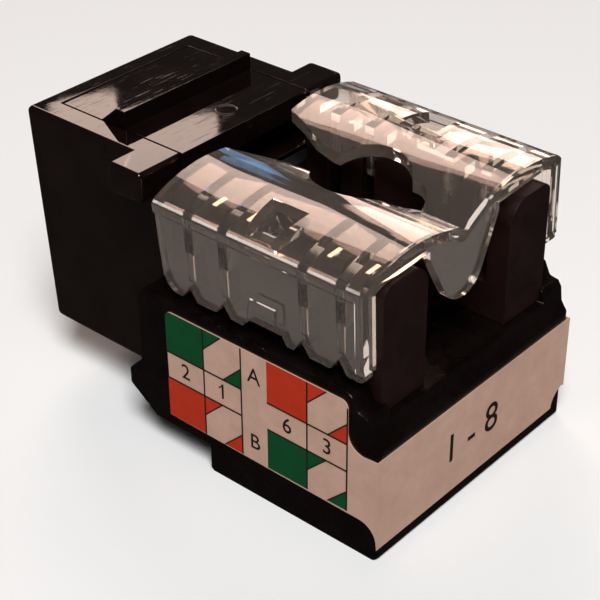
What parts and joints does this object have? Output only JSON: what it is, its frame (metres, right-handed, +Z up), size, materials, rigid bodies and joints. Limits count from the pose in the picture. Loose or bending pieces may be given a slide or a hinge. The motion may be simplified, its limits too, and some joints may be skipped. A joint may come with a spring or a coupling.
{
  "type": "panel-mount network jack module",
  "caption": "Black snap-in network socket module with a sprung latch, wire-termination towers, a clear dust cap and a colour-code label.",
  "frame": {"origin": "centre of the jack's footprint, on the plane of its resting face", "axes": "+Z up; -Y out of the socket's mouth; +X towards the side that carries the left-hand tower"},
  "size_m": [0.019, 0.0298, 0.0196],
  "materials": {
    "black_housing": "glossy moulded black plastic with fine handling scratches",
    "black_latch": "glossy moulded black plastic",
    "black_base": "semi-gloss moulded black plastic",
    "black_tower": "satin moulded black plastic",
    "black_insulator": "satin black insulator",
    "board": "green circuit board laminate",
    "gold_wire": "gold-plated spring wire",
    "tinned_blade": "tin-plated blade",
    "clear_cap": "clear glossy moulded plastic",
    "label": "off-white printed film label"
  },
  "bodies": {
    "jack": {"port_housing": "black_housing", "rear_base": "black_base", "bottom_cover": "black_base", "circuit_board": "board", "contact_carrier": "black_insulator", "contact_leads": "gold_wire", "idc_tower_left": "black_tower", "idc_tower_right": "black_tower", "wiring_label": "label", "idc_contact_1": "tinned_blade", "idc_contact_2": "tinned_blade", "idc_contact_3": "tinned_blade", "idc_contact_4": "tinned_blade", "idc_contact_5": "tinned_blade", "idc_contact_6": "tinned_blade", "idc_contact_7": "tinned_blade", "idc_contact_8": "tinned_blade"},
    "latch": {"latch_lever": "black_latch"},
    "socket_contacts": {"spring_contact_1": "gold_wire", "spring_contact_2": "gold_wire", "spring_contact_3": "gold_wire", "spring_contact_4": "gold_wire", "spring_contact_5": "gold_wire", "spring_contact_6": "gold_wire", "spring_contact_7": "gold_wire", "spring_contact_8": "gold_wire"},
    "cap": {"dust_cap": "clear_cap"}
  },
  "joints": [
    {"name": "latch_flex", "type": "hinge", "parent": "jack", "child": "latch", "pos_m": [0, -0.01335, 0.01795], "axis": [-1, 0, 0], "range_deg": [0, 12], "stiffness_Nm_per_rad": 0.25},
    {"name": "contact_flex", "type": "hinge", "parent": "jack", "child": "socket_contacts", "pos_m": [0, -0.01195, 0.0133], "axis": [1, 0, 0], "range_deg": [0, 13], "stiffness_Nm_per_rad": 0.25},
    {"name": "cap_lift", "type": "slide", "parent": "jack", "child": "cap", "axis": [0, 0, 1], "range_m": [0, 0.012]}
  ]
}
